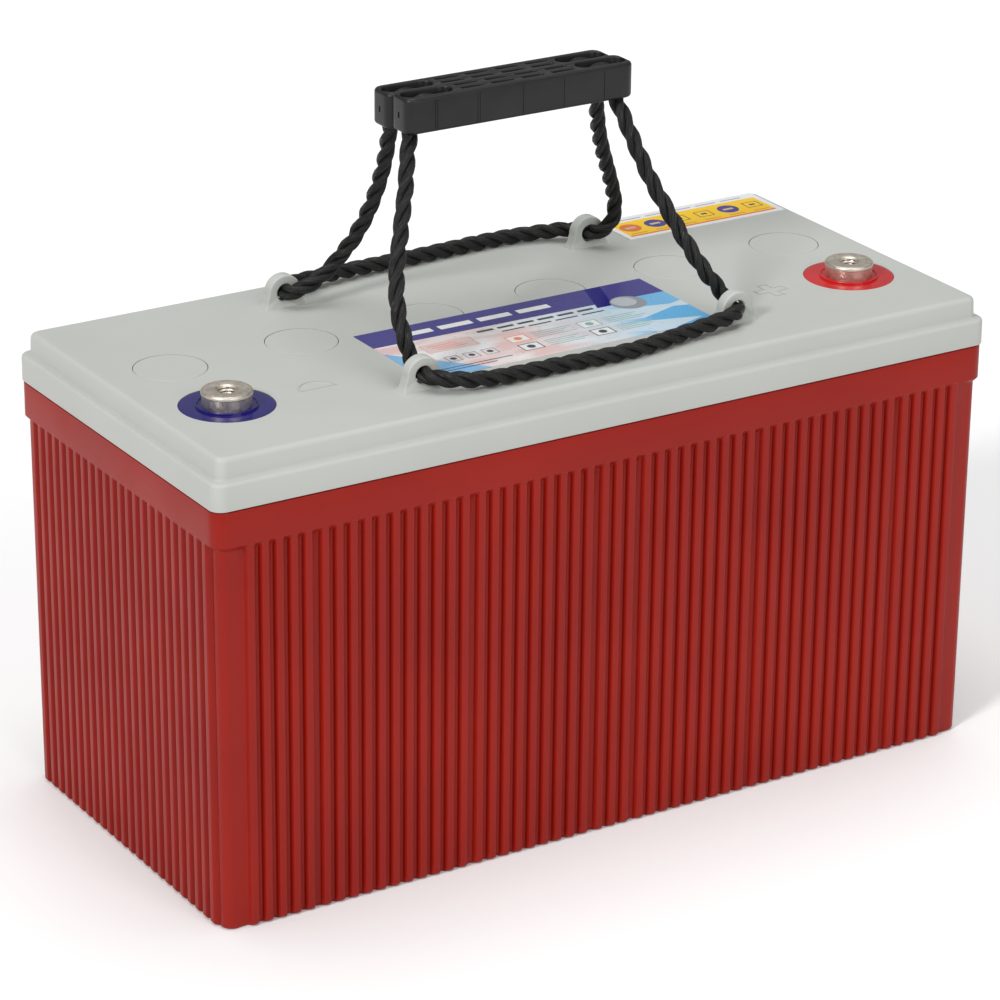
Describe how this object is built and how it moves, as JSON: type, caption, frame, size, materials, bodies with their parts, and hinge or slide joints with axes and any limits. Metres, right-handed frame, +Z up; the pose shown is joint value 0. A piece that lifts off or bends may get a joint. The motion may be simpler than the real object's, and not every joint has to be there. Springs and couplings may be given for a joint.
{
  "type": "deep cycle battery",
  "caption": "Sealed lead acid deep cycle battery with a ribbed case, flat lid, threaded posts, inner plates and folding rope carry handles",
  "frame": {"origin": "centre of the underside of the case, on the surface the battery stands on", "axes": "+X along the length towards the positive terminal, +Y across the width from the terminal side to the back, +Z up"},
  "size_m": [0.34, 0.158, 0.2802],
  "materials": {
    "case_red": "moulded plastic case, brick red, fine grained",
    "lid_grey": "moulded plastic lid, pale warm grey, satin",
    "sealant": "dark resin bead in the lid's groove",
    "terminal_metal": "tinned metal post, turned",
    "seal_blue": "blue sealing resin round the negative post",
    "seal_red": "red sealing resin round the positive post",
    "rubber_black": "soft black rubber",
    "lead": "dull cast lead",
    "positive_paste": "brown cured paste on a lead grid",
    "glass_mat": "absorbent white glass fibre mat",
    "label_print": null,
    "yellow_print": "laminated yellow film label with plain shapes",
    "grip_black": "moulded black plastic, satin",
    "rope_black": "twisted synthetic rope of three strands, black, glossy"
  },
  "bodies": {
    "root": {"case": "case_red", "lid": "lid_grey", "rope_eyes": "lid_grey", "lid_sealant": "sealant", "negative_terminal": "terminal_metal", "positive_terminal": "terminal_metal", "negative_seal_disc": "seal_blue", "positive_seal_disc": "seal_red", "negative_o_ring": "rubber_black", "positive_o_ring": "rubber_black", "negative_pillar": "lead", "positive_pillar": "lead", "cell_links": "lead", "main_label": "label_print", "yellow_label": "yellow_print", "front_rope_strand": "rope_black", "rear_rope_strand": "rope_black", "vent_cover_1": "lid_grey", "vent_valve_1": "rubber_black", "positive_plates_1": "positive_paste", "negative_plates_1": "lead", "glass_mats_1": "glass_mat", "vent_cover_2": "lid_grey", "vent_valve_2": "rubber_black", "positive_plates_2": "positive_paste", "negative_plates_2": "lead", "glass_mats_2": "glass_mat", "vent_cover_3": "lid_grey", "vent_valve_3": "rubber_black", "positive_plates_3": "positive_paste", "negative_plates_3": "lead", "glass_mats_3": "glass_mat", "vent_cover_4": "lid_grey", "vent_valve_4": "rubber_black", "positive_plates_4": "positive_paste", "negative_plates_4": "lead", "glass_mats_4": "glass_mat", "vent_cover_5": "lid_grey", "vent_valve_5": "rubber_black", "positive_plates_5": "positive_paste", "negative_plates_5": "lead", "glass_mats_5": "glass_mat", "vent_cover_6": "lid_grey", "vent_valve_6": "rubber_black", "positive_plates_6": "positive_paste", "negative_plates_6": "lead", "glass_mats_6": "glass_mat"},
    "front_handle": {"front_grip": "grip_black", "front_rope_left_leg": "rope_black", "front_rope_right_leg": "rope_black", "front_rope_ends": "rope_black"},
    "rear_handle": {"rear_grip": "grip_black", "rear_rope_left_leg": "rope_black", "rear_rope_right_leg": "rope_black", "rear_rope_ends": "rope_black"}
  },
  "joints": [
    {"name": "front_handle_swing", "type": "hinge", "parent": "root", "child": "front_handle", "pos_m": [0, -0.044, 0.2025], "axis": [1, 0, 0], "range_deg": [0, 120]},
    {"name": "rear_handle_swing", "type": "hinge", "parent": "root", "child": "rear_handle", "pos_m": [0, 0.0465, 0.2025], "axis": [-1, 0, 0], "range_deg": [0, 120]}
  ]
}
